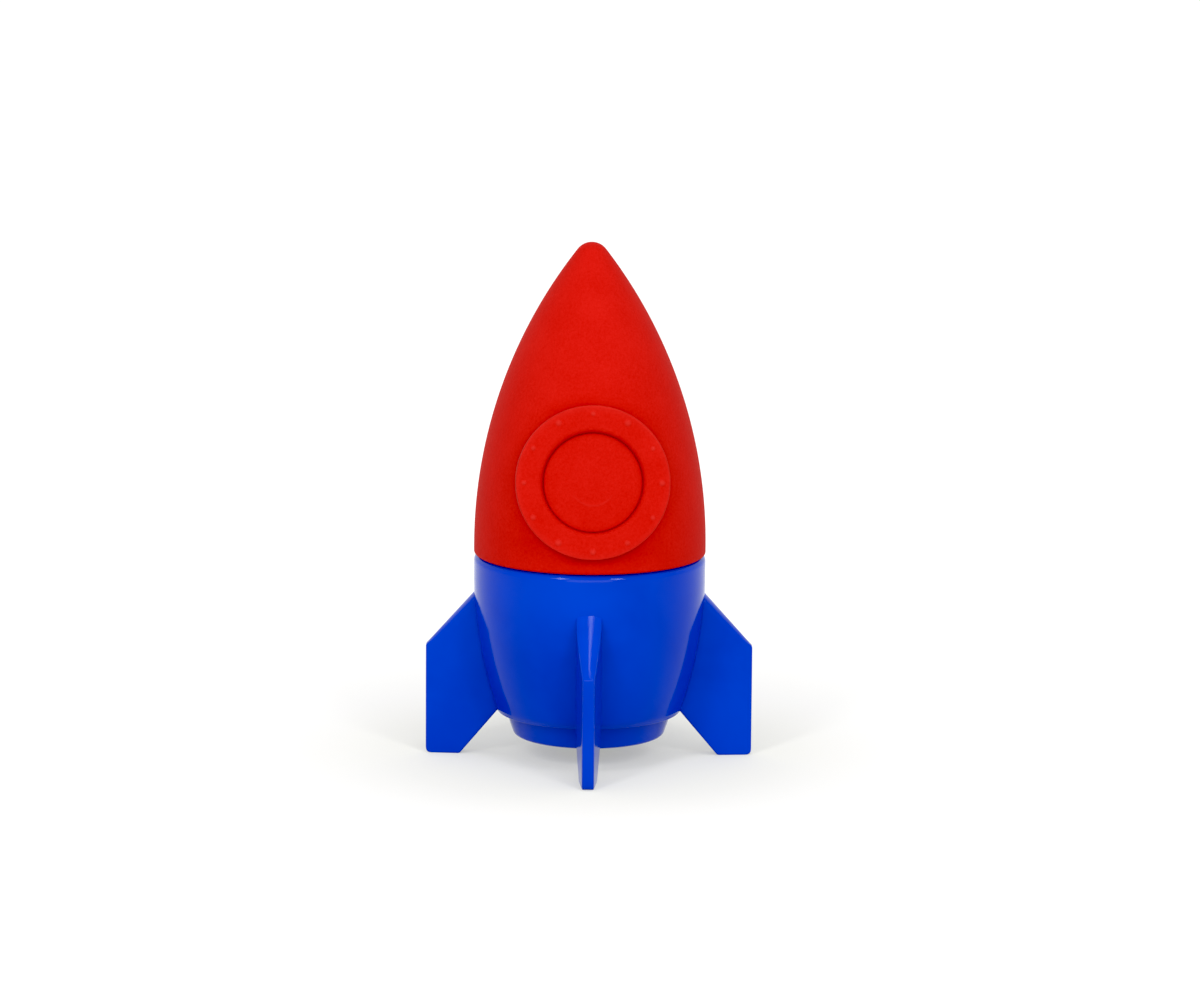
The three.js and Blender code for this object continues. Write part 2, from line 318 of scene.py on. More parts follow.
def redRubberFinish(look):
    finish = Finish("redRubber", **{
        "Specular IOR Level": 0.2, "Specular Tint": (1.0, 0.35, 0.3, 1),
        "Sheen Weight": 0.04, "Sheen Roughness": 0.4, "Sheen Tint": (1.0, 0.45, 0.4, 1),
    })
    grain = finish.noise(look["grainScale"], 3.0, 0.65)
    patches = finish.noise(look["patchScale"], 4.0, 0.6)
    speckle = finish.ramp(grain * 0.6 + patches * 0.4, 0.35, 0.65)
    body = finish.blend(speckle, look["deep"], look["pale"])
    # paler where painted: a painted highlight along the ring's outer edge and on the rivet tops, and
    # the ejector mark's own paler rubber
    markedAndHighlit = finish.blend(finish.painted("paleMarkAndHighlight"), body, look["paleMarkAndHighlight"])
    # painted shade: the base colour darkens in the creases round the porthole
    creaseShadeAmount = finish.painted("paintedCreaseShade") * look["creaseShadeShare"]
    finish.feed("Base Color", finish.blend(creaseShadeAmount, markedAndHighlit, look["paintedCreaseShade"]))
    finish.feed("Roughness", look["roughness"] + patches * look["patchRoughness"])
    # the mould's parting line runs down both sides, where y is 0
    sideways = finish.add("ShaderNodeSeparateXYZ", {}, {"Vector": finish.place()}, "Y")
    seam = 1 - finish.ramp(sideways.size(), 0.0, look["seamHalf"])
    parting = finish.bump(seam, 0.6, look["seamHeight"])
    lumps = finish.bump(patches, 0.5, look["patchHeight"], parting)
    finish.feed("Normal", finish.bump(grain, 0.7, look["grainHeight"], lumps))
    return finish.material


plasticLook = {
    "blue": (0.0012, 0.029, 0.35, 1), "lighter": (0.0018, 0.037, 0.40, 1), "flowScale": 60,
    "dustScale": 900, "roughness": 0.1, "flowRoughness": 0.06, "dustRoughness": 0.08,
    "rippleHeight": 0.015, "scratchHeight": 0.012,
}


def bluePlasticFinish(look):
    finish = Finish("bluePlastic", **{"IOR": 1.26})
    flow = finish.noise(look["flowScale"], 3.0, 0.55, distortion=0.6)
    dust = finish.noise(look["dustScale"], 3.0, 0.7)
    flowing = finish.ramp(flow, 0.3, 0.7)
    finish.feed("Base Color", finish.blend(flowing, look["blue"], look["lighter"]))
    dull = finish.ramp(flow, 0.3, 0.75) * look["flowRoughness"]
    dusty = finish.ramp(dust, 0.5, 0.8) * look["dustRoughness"]
    finish.feed("Roughness", look["roughness"] + dull + dusty)
    ripple = finish.bump(flow, 0.35, look["rippleHeight"])
    finish.feed("Normal", finish.bump(dust, 0.25, look["scratchHeight"], ripple))
    return finish.material


redRubber = redRubberFinish(rubberLook)
bluePlastic = bluePlasticFinish(plasticLook)
print("finishes made")


# Angles are in degrees, and lengths here are in metres.
cameraSpec = {
    "distance": 0.95, "elevation": 10.7, "aim": (0.0017, 0.0, 0.0449), "roll": 0.43,
    "lens": 164.5, "sensor": 36, "nearest": 0.01,
}


def placeCamera(spec):
    camera = bpy.data.objects.new("camera", bpy.data.cameras.new("camera"))
    scene.collection.objects.link(camera)
    tilt = math.radians(spec["elevation"])
    back = Vector((0, -math.cos(tilt), math.sin(tilt)))
    camera.location = Vector(spec["aim"]) + back * spec["distance"]
    camera.rotation_mode = "QUATERNION"
    roll = Quaternion((0, 0, 1), math.radians(spec["roll"]))
    camera.rotation_quaternion = back.to_track_quat("Z", "Y") @ roll
    camera.data.lens = spec["lens"]
    camera.data.sensor_width = spec["sensor"]
    camera.data.clip_start = spec["nearest"]
    scene.camera = camera


lightSpec = {
    "worldStrength": 1.0, "aim": (0, 0, 0.045),
    "boxes": [
        {
            "name": "leftBox", "azimuth": -31, "elevation": 36, "distance": 0.8,
            "size": (0.1, 0.3), "power": 1.7,
        },
        {
            "name": "rightBox", "azimuth": 31, "elevation": 36, "distance": 0.8,
            "size": (0.13, 0.3), "power": 1.5,
        },
        {
            "name": "frontFill", "azimuth": 0, "elevation": 3, "distance": 1.5,
            "size": (1.2, 1.2), "power": 11,
        },
        {
            "name": "overhead", "azimuth": 180, "elevation": 84, "distance": 1.2,
            "size": (1.2, 1.2), "power": 1.5,
        },
        {
            "name": "topStrip", "azimuth": 18, "elevation": 73, "distance": 0.8,
            "size": (0.16, 0.16), "power": 0.7,
        },
    ],
}


def lightRoom(spec):
    world = bpy.data.worlds.new("room")
    scene.world = world
    world.use_nodes = True
    world.node_tree.nodes["Background"].inputs["Color"].default_value = (1, 1, 1, 1)
    world.node_tree.nodes["Background"].inputs["Strength"].default_value = spec["worldStrength"]
    for box in spec["boxes"]:
        data = bpy.data.lights.new(box["name"], "AREA")
        data.shape = "RECTANGLE"
        data.size, data.size_y = box["size"]
        data.energy = box["power"]
        light = bpy.data.objects.new(box["name"], data)
        scene.collection.objects.link(light)
        azimuth, elevation = math.radians(box["azimuth"]), math.radians(box["elevation"])
        away = Vector((
            math.sin(azimuth) * math.cos(elevation),
            -math.cos(azimuth) * math.cos(elevation),
            math.sin(elevation),
        ))
        light.location = Vector(spec["aim"]) + away * box["distance"]
        light.rotation_mode = "QUATERNION"
        light.rotation_quaternion = away.to_track_quat("Z", "Y")


floorSpec = {
    "reach": 3000,  # in millimetres, as every mesh; the glow's distances are in metres
    "albedo": (0.41, 0.41, 0.40, 1),
    # under and near are the dim glow round the rocket, a painted shadow; under also holds a warm tint
    # against the blue bounced light
    "under": (0.385, 0.384, 0.343, 1), "near": (0.385, 0.385, 0.385, 1), "far": (0.64, 0.64, 0.64, 1),
    "warmTintStart": 0.03, "warmTintEnd": 0.055, "paintedShadowFadeStart": 0.035, "paintedShadowFadeEnd": 0.15,
}


# The floor glows with no lamp behind it, painted light that keeps its shadows pale, and it glows least
# under the rocket, a painted shadow round its foot; right under it a warm tint offsets the blue light
# bounced off the plastic.
def layFloor(spec):
    reach = spec["reach"]
    verts = [(-reach, -reach, 0), (reach, -reach, 0), (reach, reach, 0), (-reach, reach, 0)]
    floor = newObject("floor", verts, [[0, 1, 2, 3]])
    finish = Finish("paleFloor", **{
        "Roughness": 0.9, "Specular IOR Level": 0.1,
        "Base Color": spec["albedo"], "Emission Strength": 1.0,
    })
    away = finish.add("ShaderNodeVectorMath", {"operation": "LENGTH"}, {0: finish.place()}, "Value")
    # painted shadow: the glow is least near the rocket and rises to the far value; right under it a
    # warm tint offsets the blue bounced light
    pastWarmTint = finish.ramp(away, spec["warmTintStart"], spec["warmTintEnd"])
    near = finish.blend(pastWarmTint, spec["under"], spec["near"])
    glowWithPaintedShadow = finish.blend(finish.ramp(away, spec["paintedShadowFadeStart"], spec["paintedShadowFadeEnd"]), near, spec["far"])
    finish.feed("Emission Color", glowWithPaintedShadow)
    # seen from below it isn't there, so the underside of the rocket shows
    behind = finish.add("ShaderNodeNewGeometry", {}, {}, "Backfacing")
    clear = finish.add("ShaderNodeBsdfTransparent", {}, {})
    lit = Wire(finish, finish.shader.outputs[0])
    mixed = finish.add("ShaderNodeMixShader", {}, {0: behind, 1: lit, 2: clear})
    output = next(n for n in finish.nodes if n.type == "OUTPUT_MATERIAL")
    finish.links.new(mixed.socket, output.inputs["Surface"])
    floor.data.materials.append(finish.material)


placeCamera(cameraSpec)
lightRoom(lightSpec)
layFloor(floorSpec)
scene.view_settings.view_transform = "Standard"
scene.view_settings.use_curve_mapping = True
scene.view_settings.curve_mapping.black_level = (0.022, 0.022, 0.022)
print("camera, light and floor placed")


# The eraser nose: a turned body with a window at its front, which the porthole closes.
noseLow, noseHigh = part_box("eraser_nose")
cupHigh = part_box("base_shell")[1]
seatGap = 0.04  # the CAD keeps 0.3 mm here; the real pieces rest on each other
rimRaise = 0.1
rimTop = cupHigh.z / mm + rimRaise
noseSpec = {
    "top": noseHigh.z / mm, "plugBottom": noseLow.z / mm, "bottom": rimTop + seatGap,
    "radius": 20.1, "tangentHeight": 37.0, "tipRadius": 3.1, "edge": 0.45,
    "plugRadius": 18.1, "plugRings": (6, 12), "plugNeck": 1.5, "neckRound": 0.25,
    "segments": 192, "turn": 1.5,
}
portholeSpec = {
    "height": 51.4, "radius": 13.15, "rise": 0.4, "edge": 0.32, "fillet": 0.15,
    "ringBands": (1.2, 2.0), "lipRadius": 9.5, "lipRound": 0.95,
    "glassRadius": 8.42, "glassEdge": 0.24, "glassDrop": 0.78, "dome": 0.45,
    "grooveDepth": 0.06, "grooveOuter": 0.1, "grooveInner": 0.02,
    # the crease values set the painted shade in the glass's groove and at the porthole's foot
    "creaseShadeReach": 0.3, "cornerCreaseShade": 0.8,
    # the edge values paint a highlight along the ring's rounded outer edge; the mark value makes the
    # ejector mark paler
    "edgeHighlightReach": 0.22, "edgeHighlight": 0.16, "edgeMiddle": (0.15, 0.1), "markWorn": 0.13,
    "markRadius": 3.9, "markHeight": 0.03, "markWidth": 0.13, "markSpan": (-2.6, -0.5), "markFade": 1.5,
    "windowHalf": 31, "windowLow": 36.5, "windowHigh": 67.6,
}
tipCentre = noseSpec["top"] - noseSpec["tipRadius"]
noseRise = tipCentre - noseSpec["tangentHeight"]
noseArc = (noseRise ** 2 + noseSpec["radius"] ** 2 - noseSpec["tipRadius"] ** 2) / (
    2 * (noseSpec["radius"] - noseSpec["tipRadius"]))
noseArcCentre = noseSpec["radius"] - noseArc


def noseRadius(z):
    above = max(z - noseSpec["tangentHeight"], 0.0)
    return noseArcCentre + math.sqrt(noseArc ** 2 - above ** 2)


def noseProfile(spec):
    edge, neck = spec["edge"], spec["neckRound"]
    tipAngle = math.degrees(math.atan2(noseRise, -noseArcCentre))
    return [
        (0, spec["plugBottom"]),
        *[(r, spec["plugBottom"]) for r in spec["plugRings"]],
        *arc(spec["plugRadius"] - edge, spec["plugBottom"] + edge, edge, -90, 0, 6),
        (spec["plugRadius"], spec["bottom"] - spec["plugNeck"]),
        *arc(spec["plugRadius"] + neck, spec["bottom"] - neck, neck, 180, 90, 3),
        *arc(spec["radius"] - edge, spec["bottom"] + edge, edge, -90, 0, 8),
        *arc(noseArcCentre, spec["tangentHeight"], noseArc, 0, tipAngle, 62),
        *arc(0, tipCentre, spec["tipRadius"], tipAngle, 90, 10)[1:-1],
        (0, spec["top"]),
    ]


tilt = math.asin((portholeSpec["height"] - noseSpec["tangentHeight"]) / noseArc)
portholeOut = Vector((0, -math.cos(tilt), math.sin(tilt)))
portholeUp = Vector((0, math.sin(tilt), math.cos(tilt)))
portholeAcross = Vector((1, 0, 0))
portholeCentre = Vector((0, -noseRadius(portholeSpec["height"]), portholeSpec["height"]))


def portholePoint(radius, angle, depth):
    flat = portholeAcross * math.cos(angle) + portholeUp * math.sin(angle)
    return portholeCentre + flat * radius + portholeOut * depth


def depthOnNose(radius, angle):
    # how far below the porthole's plane the nose's surface lies, by halving
    low, high = -16.0, 0.5
    halvings = 40
    for _ in range(halvings):
        middle = (low + high) / 2
        point = portholePoint(radius, angle, middle)
        if math.hypot(point.x, point.y) > noseRadius(point.z):
            high = middle
        else:
            low = middle
    return (low + high) / 2


def ontoNose(point):
    scale = noseRadius(point.z) / math.hypot(point.x, point.y)
    return Vector((point.x * scale, point.y * scale, point.z))


# The face of the porthole from its outer edge in to the middle of the glass, as (radius, depth).
def portholeFace(spec):
    edge, lip, bead = spec["edge"], spec["lipRound"], spec["glassEdge"]
    level = spec["rise"] - spec["glassDrop"]
    rim = spec["glassRadius"] - bead
    # rings of the glass, closest together where the mark is
    glassRings = [0.93, 0.84, 0.74, 0.64, 0.57, 0.53, 0.51, 0.49, 0.47, 0.45, 0.4, 0.3, 0.15]
    glass = [(rim * s, level + spec["dome"] * (1 - s ** 2)) for s in glassRings]
    grooveLevel = spec["rise"] - lip - spec["grooveDepth"]
    return [
        *arc(spec["radius"] - edge, spec["rise"] - edge, edge, 0, 90, 6),
        *[(spec["radius"] - band, spec["rise"]) for band in spec["ringBands"]],
        *arc(spec["lipRadius"], spec["rise"] - lip, lip, 90, 180, 8),
        (spec["glassRadius"] + spec["grooveOuter"], grooveLevel),
        (spec["glassRadius"] + spec["grooveInner"], grooveLevel),
        *arc(rim, level - bead, bead, 0, 90, 5),
        *glass,
    ]


# The faint crescent that a mould's ejector leaves in the lower half of the glass, from 0 to 1.
def ejectorMark(spec, radius, angle):
    start, end = spec["markSpan"]
    if not start < angle < end:
        return 0.0
    across = (radius - spec["markRadius"]) / spec["markWidth"]
    along = max(0.0, math.cos((angle + math.pi / 2) * spec["markFade"]))
    return math.exp(-across ** 2) * along ** 0.5


def buildNose(spec, window):
    profile = noseProfile(spec)
    inside = [window["windowLow"] < z < window["windowHigh"] for r, z in profile]
    rowsIn = [i for i, within in enumerate(inside) if within]
    low, high, half = rowsIn[0], rowsIn[-1], window["windowHalf"]
    segments = spec["segments"]

    def inWindow(row, column):
        signed = column if column < segments / 2 else column - segments
        return low <= row < high and -half <= signed < half

    verts, faces, rows = latheShell(profile, segments, inWindow)
    # the window's edge, anticlockwise as seen from outside
    rim = [rows[low][j % segments] for j in range(-half, half)]
    rim += [rows[i][half] for i in range(low, high)]
    rim += [rows[high][j % segments] for j in range(half, -half, -1)]
    rim += [rows[i][-half % segments] for i in range(high, low, -1)]
    rimPoints = [Vector(verts[v]) for v in rim]
    angles = []
    for point in rimPoints:
        offset = point - portholeCentre
        angles.append(math.atan2(offset.dot(portholeUp), offset.dot(portholeAcross)))
    radius, fillet = window["radius"], window["fillet"]
    foot = [portholePoint(radius + fillet, a, depthOnNose(radius + fillet, a)) for a in angles]
    depths = [depthOnNose(radius, a) for a in angles]
    corner = [portholePoint(radius, a, d) for a, d in zip(angles, depths)]
    head = [portholePoint(radius, a, d + fillet) for a, d in zip(angles, depths)]
    loops = []
    # from the window's edge to the porthole, along the nose's surface
    slopeShares = (0.15, 0.3, 0.45, 0.6, 0.72, 0.82, 0.9, 0.94, 0.97, 0.985, 1.0)
    for share in slopeShares:
        loops.append([ontoNose(p.lerp(q, share)) for p, q in zip(rimPoints, foot)])
    for t in (0.25, 0.5, 0.75, 1.0):
        loops.append([
            f * (1 - t) ** 2 + c * (2 * t * (1 - t)) + h * t ** 2
            for f, c, h in zip(foot, corner, head)
        ])
    face = portholeFace(window)
    top = face[0][1]
    for share in (0.33, 0.66):
        loops.append([
            portholePoint(radius, a, d + fillet + (top - d - fillet) * share)
            for a, d in zip(angles, depths)
        ])
    faceStart = len(loops)
    for r, depth in face:
        loops.append([
            portholePoint(r, a, depth + window["markHeight"] * ejectorMark(window, r, a))
            for a in angles
        ])
    previous = rim
    count = len(rim)
    for loop in loops:
        current = list(range(len(verts), len(verts) + count))
        verts += [tuple(p) for p in loop]
        for k in range(count):
            n = (k + 1) % count
            faces.append([previous[k], previous[n], current[n], current[k]])
        previous = current
    centre = len(verts)
    verts.append(tuple(portholePoint(0, 0, face[-1][1])))
    for k in range(count):
        faces.append([previous[k], previous[(k + 1) % count], centre])
    # how much painted shade each point gets in the creases, and how much paler it is painted: a painted
    # highlight along the ring's outer edge, and the ejector mark's own paler rubber
    grooveRadius = window["glassRadius"] + (window["grooveOuter"] + window["grooveInner"]) / 2
    grooveLevel = window["rise"] - window["lipRound"]
    edgeRadius = radius - window["edgeMiddle"][0]
    edgeLevel = window["rise"] - window["edgeMiddle"][1]
    creaseShadeValues, paleMarkAndHighlight = [0.0] * len(verts), [0.0] * len(verts)
    first = centre - len(loops) * count
    for i, loop in enumerate(loops):
        for k, point in enumerate(loop):
            r = face[i - faceStart][0] if i >= faceStart else radius
            toGroove = (point - portholePoint(grooveRadius, angles[k], grooveLevel)).length
            toCorner = (point - corner[k]).length
            toEdge = (point - portholePoint(edgeRadius, angles[k], edgeLevel)).length
            index = first + i * count + k
            creaseShadeValues[index] = max(
                math.exp(-toGroove / window["creaseShadeReach"]),
                window["cornerCreaseShade"] * math.exp(-toCorner / window["creaseShadeReach"]))
            paleMarkAndHighlight[index] = max(
                window["edgeHighlight"] * math.exp(-(toEdge / window["edgeHighlightReach"]) ** 2),
                window["markWorn"] * ejectorMark(window, r, angles[k]))
    turn = Matrix.Rotation(math.radians(spec["turn"]), 3, "Z")
    nose = newObject("eraserNose", [turn @ Vector(v) for v in verts], faces, 60)
    paint(nose, "paintedCreaseShade", creaseShadeValues)
    paint(nose, "paleMarkAndHighlight", paleMarkAndHighlight)
    nose.data.materials.append(redRubber)
    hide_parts("eraser_nose")
    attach(nose, "eraser")


rivetSpec = {
    "count": 12, "circleRadius": 11.75, "radius": 0.6, "height": 0.19, "skirt": 0.4,
    "sunk": 0.3, "settled": 0.01, "flatShare": 0.72, "steepness": 6,
    "smallest": 0.72, "largest": 1.15, "seed": 4, "pale": 0.3,
}


def buildRivets(spec):
    # a low dome whose foot flares out into the ring, as moulded rubber does
    full = spec["radius"] + spec["skirt"]
    flat, settled = spec["radius"] * spec["flatShare"], spec["settled"]
    profile = [(0, -spec["sunk"]), (full, -spec["sunk"]), (full, -2 * settled)]
    for s in (0.85, 0.7, 0.55, 0.4, 0.25, 0.12, 0.0):
        reach = full * s
        profile.append((reach, spec["height"] / (1 + (reach / flat) ** spec["steepness"]) - settled))
    verts, faces, _ = latheShell(profile, 20)
    dome = newObject("rivetDome", verts, faces)
    # a painted highlight: each rivet is painted paler towards its top, through the same attribute as
    # the ring's edge highlight
    nearness = [max(0.0, 1 - (x * x + y * y) / spec["radius"] ** 2) for x, y, z in verts]
    paint(dome, "paleMarkAndHighlight", [spec["pale"] * near for near in nearness])
    face = portholeCentre + portholeOut * portholeSpec["rise"]
    turn = math.radians(noseSpec["turn"])
    rivets = ringOfCopies("portholeRivets", spec, dome, redRubber, face, math.pi / 2 - tilt, turn)
    discard(dome)
    smoothShading(rivets, 60)
    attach(rivets, "eraser")


buildNose(noseSpec, portholeSpec)
buildRivets(rivetSpec)
print("eraser nose built")


# The cup and its four fins are one moulding.
cupSpec = {
    "rim": rimTop, "radius": 20.1, "straight": 31.5, "bottom": 7.75, "bottomRadius": 16.05,
    "wall": 1.7, "lip": 0.45, "rimRound": 1.25, "innerRound": 0.4, "innerCorner": 1.2,
    "rimLand": 0.6, "innerLand": 0.4, "lipLand": 0.1, "holeRadius": 13.0, "segments": 256,
}
cupRise = cupSpec["straight"] - cupSpec["bottom"]
cupFlare = cupSpec["radius"] - cupSpec["bottomRadius"]
cupArc = (cupRise ** 2 + cupFlare ** 2) / (2 * cupFlare)
cupArcCentre = cupSpec["radius"] - cupArc


def cupRadius(z):
    below = min(z - cupSpec["straight"], 0.0)
    return cupArcCentre + math.sqrt(cupArc ** 2 - below ** 2)


def cupSide(inset, fromZ, toZ, steps):
    radius = cupArc - inset
    start = math.degrees(math.asin((fromZ - cupSpec["straight"]) / radius))
    end = math.degrees(math.asin((toZ - cupSpec["straight"]) / radius))
    return arc(cupArcCentre, cupSpec["straight"], radius, start, end, steps)


def buildCup(spec):
    floorTop = spec["bottom"] + spec["wall"]
    inner = spec["radius"] - spec["wall"]
    lip, rim = spec["lip"], spec["rimRound"]
    inside, corner = spec["innerRound"], spec["innerCorner"]
    cornerR = cupRadius(floorTop + corner) - spec["wall"] - corner
    profile = [
        (spec["holeRadius"], spec["bottom"]),
        *arc(spec["bottomRadius"] - lip, spec["bottom"] + lip, lip, -90, -8, 5),
        *cupSide(0, spec["bottom"] + lip + spec["lipLand"], spec["straight"], 26),
        (spec["radius"], spec["rim"] - rim - spec["rimLand"]),
        *arc(spec["radius"] - rim, spec["rim"] - rim, rim, 0, 90, 10),
        *arc(inner + inside, spec["rim"] - inside, inside, 90, 180, 5),
        (inner, spec["straight"] + spec["innerLand"]),
        *cupSide(spec["wall"], spec["straight"], floorTop + corner, 20),
        *arc(cornerR, floorTop + corner, corner, 0, -90, 5)[1:],
        (spec["holeRadius"], floorTop),
    ]
    verts, faces = latheRing(profile, spec["segments"])
    cup = newObject("cup", verts, faces)
    tidyNormals(cup)
    return cup


finSpec = {
    "count": 4, "circleRadius": 0.0, "tipRadius": cupHigh.x / mm, "footInner": 22.5,
    "shoulder": 19.3, "top": 28.6, "rootThickness": 4.5, "tipThickness": 2.0, "taper": 1.3,
    "buried": 0.85, "buriedHeights": (12.5, 17.5, 23.0), "hiddenFoot": 0.115, "hiddenTop": 0.085,
    "edge": 0.42, "shoulderRound": 0.7, "footRound": 1.0, "innerRound": 0.7,
    "crown": 0.42, "crownReach": 0.9, "crownStart": 1.5,
    "slices": [
        {"axis": (1, 0, 0), "start": 15.0, "end": 28.0, "every": 1.6},
        {"axis": (0, 0, 1), "start": 1.0, "end": 29.0, "every": 1.6},
        {"axis": (0, 1, 0), "start": -2.1, "end": 2.1, "every": 0.42},
    ],
}


def finThickness(r, z):
    root = cupRadius(z)
    reach = min(max((r - root) / (finSpec["tipRadius"] - root), 0.0), 1.0)
    spread = finSpec["tipThickness"] - finSpec["rootThickness"]
    return finSpec["rootThickness"] + spread * reach ** finSpec["taper"]


# A corner of an outline in the (r, z) plane, rounded; before and after are its neighbours.
def roundedCorner(before, corner, after, radius, steps=4):
    corner = Vector(corner)
    backward = (Vector(before) - corner).normalized()
    forward = (Vector(after) - corner).normalized()
    half = backward.angle(forward) / 2
    start = corner + backward * (radius / math.tan(half))
    end = corner + forward * (radius / math.tan(half))
    points = []
    for i in range(steps + 1):
        t = i / steps
        points.append(tuple(start * (1 - t) ** 2 + corner * (2 * t * (1 - t)) + end * t ** 2))
    return points


def finOutline(spec):
    # the last points run back down inside the cup's wall
    rootTop = (cupRadius(spec["top"]), spec["top"])
    shoulder = (spec["tipRadius"], spec["shoulder"])
    foot, heel = (spec["tipRadius"], 0.0), (spec["footInner"], 0.0)
    lipPoint = Vector((cupSpec["bottomRadius"], cupSpec["bottom"]))
    hidden = lipPoint + (lipPoint - Vector(heel)) * spec["hiddenFoot"]
    rise = (Vector(rootTop) - Vector(shoulder)) * spec["hiddenTop"]
    top = tuple(Vector(rootTop) + rise)
    exposed = [
        top,
        *roundedCorner(rootTop, shoulder, foot, spec["shoulderRound"]),
        *roundedCorner(shoulder, foot, heel, spec["footRound"]),
        *roundedCorner(foot, heel, tuple(lipPoint), spec["innerRound"], 3),
        tuple(hidden),
    ]
    buried = [(cupRadius(z) - spec["buried"], z) for z in spec["buriedHeights"]]
    return exposed, buried


# The leading edge is crowned: its two sides lie lower than its middle.
def crownDrop(spec, x, y, z):
    shoulder = Vector((spec["tipRadius"], spec["shoulder"]))
    along = (Vector((cupRadius(spec["top"]), spec["top"])) - shoulder).normalized()
    outward = Vector((along.y, -along.x))
    inside = -(Vector((x, z)) - shoulder).dot(outward)
    near = max(0.0, 1 - abs(inside) / spec["crownReach"])
    started = min(max((z - spec["shoulder"]) / spec["crownStart"], 0.0), 1.0)
    share = abs(y) / (spec["rootThickness"] / 2)
    return outward * (-spec["crown"] * share ** 2 * near * started)


def buildFins(spec):
    exposed, buried = finOutline(spec)
    outline = exposed + buried
    count = len(outline)
    half = spec["rootThickness"] / 2
    verts = [(r, -half, z) for r, z in outline] + [(r, half, z) for r, z in outline]
    faces = [list(range(count)), list(range(2 * count - 1, count - 1, -1))]
    for k in range(count):
        n = (k + 1) % count
        faces.append([n, k, k + count, n + count])
    fin = newObject("fin", verts, faces)
    tidyNormals(fin)
    edit = bmesh.new()
    edit.from_mesh(fin.data)
    edit.verts.ensure_lookup_table()
    edges = []
    for k in range(len(exposed) - 1):
        for offset in (0, count):
            pair = (edit.verts[k + offset], edit.verts[k + 1 + offset])
            edges.append(next(e for e in pair[0].link_edges if e.other_vert(pair[0]) == pair[1]))
    bmesh.ops.bevel(
        edit, geom=edges, offset=spec["edge"] * mm, offset_type="OFFSET", segments=5, profile=0.5,
        affect="EDGES", clamp_overlap=False)
    # slices give the flanks enough points to follow the taper
    for cuts in spec["slices"]:
        axis = Vector(cuts["axis"])
        for i in range(int((cuts["end"] - cuts["start"]) / cuts["every"])):
            at = (cuts["start"] + (i + 0.5) * cuts["every"]) * mm
            whole = edit.verts[:] + edit.edges[:] + edit.faces[:]
            bmesh.ops.bisect_plane(edit, geom=whole, plane_co=axis * at, plane_no=axis)
    for v in edit.verts:
        drop = crownDrop(spec, v.co.x / mm, v.co.y / mm, v.co.z / mm)
        v.co.x += drop.x * mm
        v.co.z += drop.y * mm
        v.co.y *= finThickness(v.co.x / mm, v.co.z / mm) / spec["rootThickness"]
    edit.to_mesh(fin.data)
    edit.free()
    fins = ringOfCopies("fins", spec, fin, bluePlastic)
    discard(fin)
    tidyNormals(fins)
    return fins


cup = buildCup(cupSpec)
fins = buildFins(finSpec)
cut(cup, fins, "UNION")
base = baked(cup, "baseShell", 32)
discard(cup, fins)
base.data.materials.clear()
base.data.materials.append(bluePlastic)
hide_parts("base_shell")
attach(base, "base")
print("cup and fins built:", len(base.data.polygons), "faces")


# The nozzle plug, with the pencil's hole and the pocket that holds the sharpener.
plugLow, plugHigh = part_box("nozzle_plug")
nozzleSpec = {
    "bottom": plugLow.z / mm, "top": plugHigh.z / mm,
    "topRadius": 14.5, "bottomRadius": 13.3, "edge": 0.9, "topEdge": (0.1, 0.12),
    "spigot": 12.7, "spigotEdge": 0.3, "spigotRoot": 0.2, "hole": 4.3, "leadIn": 0.7,
    "pocket": (15.4, 11.8), "pocketFloor": 5.4, "segments": 192,
}


def buildNozzle(spec):
    flange = cupSpec["bottom"] - seatGap
    edge, lead = spec["edge"], spec["leadIn"]
    inward, down = spec["topEdge"]
    root, spigotEdge = spec["spigotRoot"], spec["spigotEdge"]
    profile = [
        (spec["hole"] + lead, spec["bottom"]),
        *arc(spec["bottomRadius"] - edge, spec["bottom"] + edge, edge, -90, -12, 7),
        (spec["topRadius"] - inward, flange - down),
        (spec["topRadius"] - 2 * inward, flange),
        (spec["spigot"] + root, flange),
        (spec["spigot"], flange + root),
        *arc(spec["spigot"] - spigotEdge, spec["top"] - spigotEdge, spigotEdge, 0, 90, 3),
        (spec["hole"], spec["top"]),
        *arc(spec["hole"] + lead, spec["bottom"] + lead, lead, 180, 270, 5),
    ]
    verts, faces = latheRing(profile[:-1], spec["segments"])
    plug = newObject("plugBlank", verts, faces)
    tidyNormals(plug)
    halfX, halfY = spec["pocket"][0] / 2, spec["pocket"][1] / 2
    corners = [(-halfX, -halfY), (halfX, -halfY), (halfX, halfY), (-halfX, halfY)]
    low, high = spec["pocketFloor"], spec["top"] + 1  # the cut runs out past the top
    boxVerts = [(x, y, low) for x, y in corners] + [(x, y, high) for x, y in corners]
    boxFaces = [[3, 2, 1, 0], [4, 5, 6, 7], [0, 1, 5, 4], [1, 2, 6, 5], [2, 3, 7, 6], [3, 0, 4, 7]]
    pocket = newObject("pocketTool", boxVerts, boxFaces)
    cut(plug, pocket, "DIFFERENCE")
    nozzle = baked(plug, "nozzlePlug", 32)
    discard(plug, pocket)
    nozzle.data.materials.clear()
    nozzle.data.materials.append(bluePlastic)
    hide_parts("nozzle_plug")
    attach(nozzle, "base")


buildNozzle(nozzleSpec)
print("nozzle plug built")


